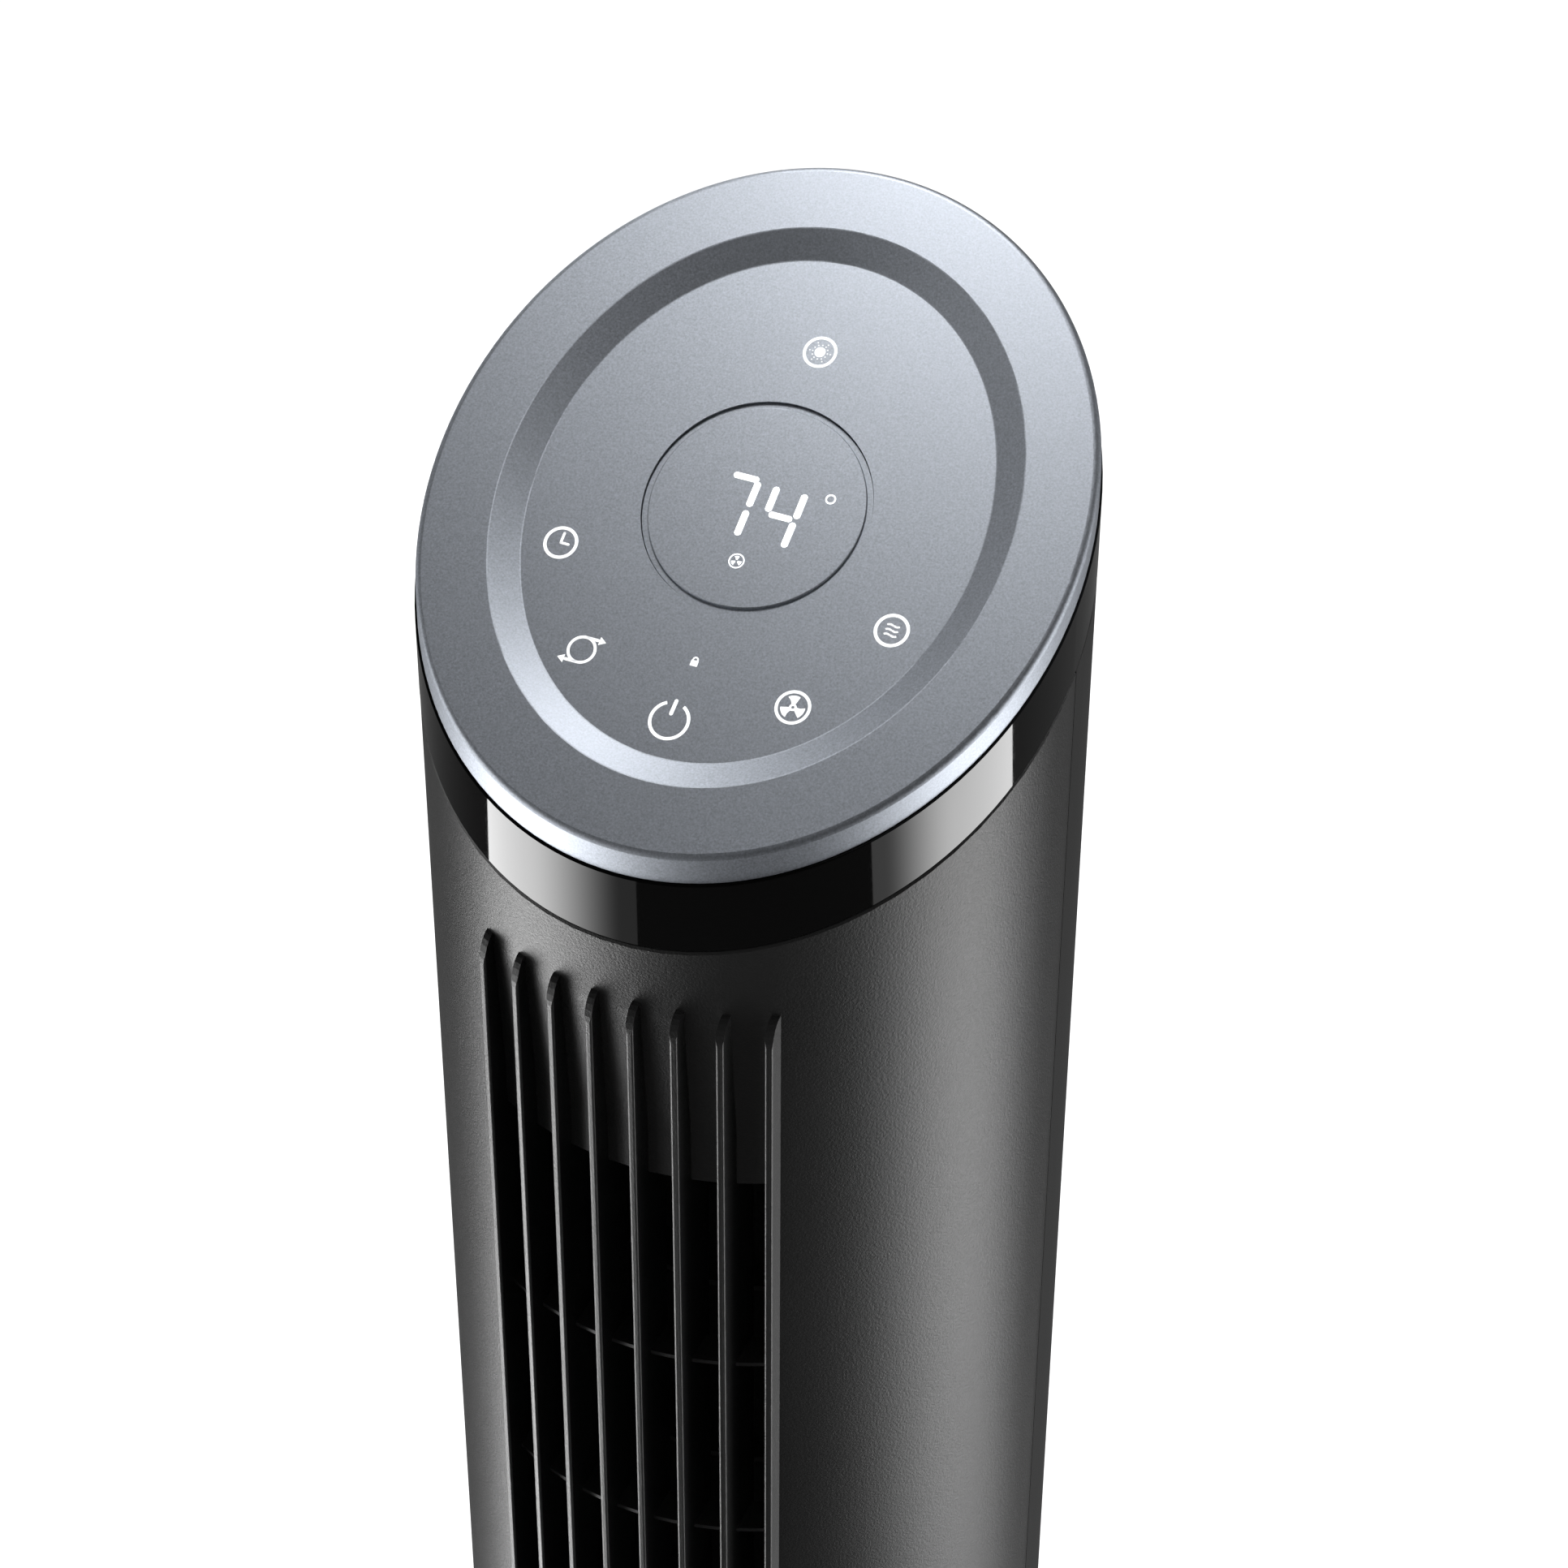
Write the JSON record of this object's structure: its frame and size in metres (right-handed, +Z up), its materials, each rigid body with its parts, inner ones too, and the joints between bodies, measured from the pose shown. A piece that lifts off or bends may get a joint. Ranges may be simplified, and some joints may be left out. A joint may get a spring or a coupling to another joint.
{
  "type": "tower fan",
  "caption": "Round tower fan on a disc base: slanted touch panel on top, upright outlet fins in front, intake grille behind, turning tower and cross-flow impeller.",
  "frame": {"origin": "centre of the base where it rests on the floor", "axes": "+Z up along the tower, -Y towards the air outlet, +X to the right as seen from the front"},
  "size_m": [0.3, 0.3, 1.0656],
  "materials": {
    "shell_front": "fine-grained matte dark grey",
    "shell_rear": "smooth matte near-black",
    "panel_metal": "satin silver-grey with fine sparkle",
    "gloss_black": "high gloss black",
    "lens": "satin grey window over the display",
    "base_black": "smooth matte black",
    "black_plastic": "plain black moulding",
    "white_plastic": "natural acetal",
    "steel": "plain steel",
    "zinc": "zinc-plated steel",
    "weight_iron": "painted steel plate",
    "rubber": "black rubber",
    "copper": "copper windings and laminated core",
    "board_green": "green circuit board",
    "bronze": "sintered bronze"
  },
  "bodies": {
    "base": {"base_cover": "base_black", "base_bottom_plate": "black_plastic", "counterweight_plate": "weight_iron", "rubber_feet": "rubber", "base_screws": "zinc", "weight_screws": "zinc", "cord_grommet": "rubber", "glide_ring": "white_plastic", "pivot_bush": "white_plastic", "oscillation_motor": "zinc", "oscillation_posts": "black_plastic", "oscillation_screws": "zinc"},
    "tower": {"oscillation_gear": "white_plastic", "pivot_spindle": "steel", "spindle_screws": "zinc", "retaining_ring": "steel", "tower_foot": "black_plastic", "foot_screws": "zinc", "front_housing": "shell_front", "rear_housing": "shell_rear", "rear_grille": "shell_rear", "grille_screws": "zinc", "seam_screws": "zinc", "handle_cup": "black_plastic", "trim_band": "gloss_black", "control_panel": "panel_metal", "display_lens": "lens", "display_module": "white_plastic", "control_board": "board_green", "board_screws": "zinc", "touch_springs": "steel", "panel_carrier": "black_plastic", "carrier_screws": "zinc", "duct_scroll": "black_plastic", "duct_tongue": "black_plastic", "duct_top_plate": "black_plastic", "duct_bottom_plate": "black_plastic", "upper_bearing": "bronze", "bearing_rubber": "rubber", "motor_housing": "zinc", "motor_stator": "copper", "motor_bearings": "steel", "motor_grommets": "rubber", "motor_screws": "zinc", "power_board": "board_green", "power_parts": "black_plastic"},
    "pinion": {"drive_pinion": "white_plastic"},
    "impeller": {"impeller": "black_plastic", "impeller_pin": "steel", "set_screw": "zinc", "motor_rotor": "steel", "motor_shaft": "steel"}
  },
  "joints": [
    {"name": "oscillation", "type": "hinge", "parent": "base", "child": "tower", "pos_m": [0, 0, 0.04], "axis": [0, 0, 1], "range_deg": [-45, 45]},
    {"name": "pinion_spin", "type": "hinge", "parent": "base", "child": "pinion", "pos_m": [0, 0.04375, 0.027], "axis": [0, 0, 1], "range_deg": [-181, 181]},
    {"name": "impeller_spin", "type": "hinge", "parent": "tower", "child": "impeller", "pos_m": [0, 0.008, 0.5], "axis": [0, 0, 1], "continuous": true}
  ],
  "couplings": [
    {"joint": "pinion_spin", "follows": "oscillation", "ratio": -4}
  ]
}
